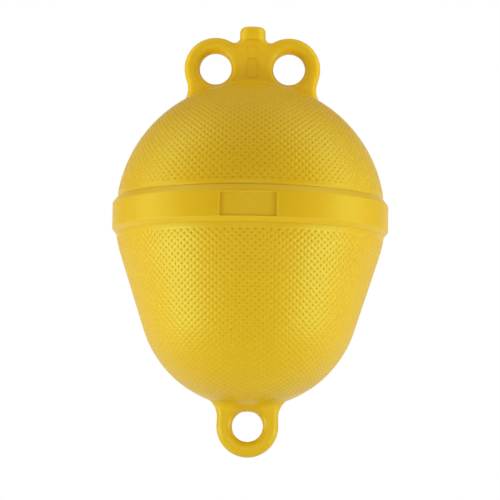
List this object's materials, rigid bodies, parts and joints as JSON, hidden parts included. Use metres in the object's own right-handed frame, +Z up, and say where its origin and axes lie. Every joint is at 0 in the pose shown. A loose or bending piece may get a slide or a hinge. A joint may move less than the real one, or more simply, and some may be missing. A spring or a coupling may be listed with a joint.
{
  "type": "pear-shaped swim buoy",
  "caption": "Rigid pear-shaped plastic swim-line buoy: textured domed top and tapered hull, raised waist band, two-eyed lifting lug with filler plug above and a one-eyed mooring lug below.",
  "frame": {"origin": "on the buoy's axis at mid-height of the waist band, where the laden buoy's waterline runs", "axes": "+Z up along the buoy's axis, towards the lifting lug; the eyes' bores run along Y, and the blank name panel faces -Y"},
  "size_m": [0.25, 0.2506, 0.3916],
  "materials": {
    "textured_plastic": "moulded polyethylene with a fine diamond lattice of dimples, satin yellow",
    "smooth_plastic": "smooth moulded polyethylene, satin yellow"
  },
  "bodies": {
    "root": {"upper_shell": "textured_plastic", "lower_shell": "textured_plastic", "waist_band": "smooth_plastic", "lifting_lug": "smooth_plastic", "mooring_lug": "smooth_plastic", "filler_plug": "smooth_plastic"}
  },
  "joints": []
}
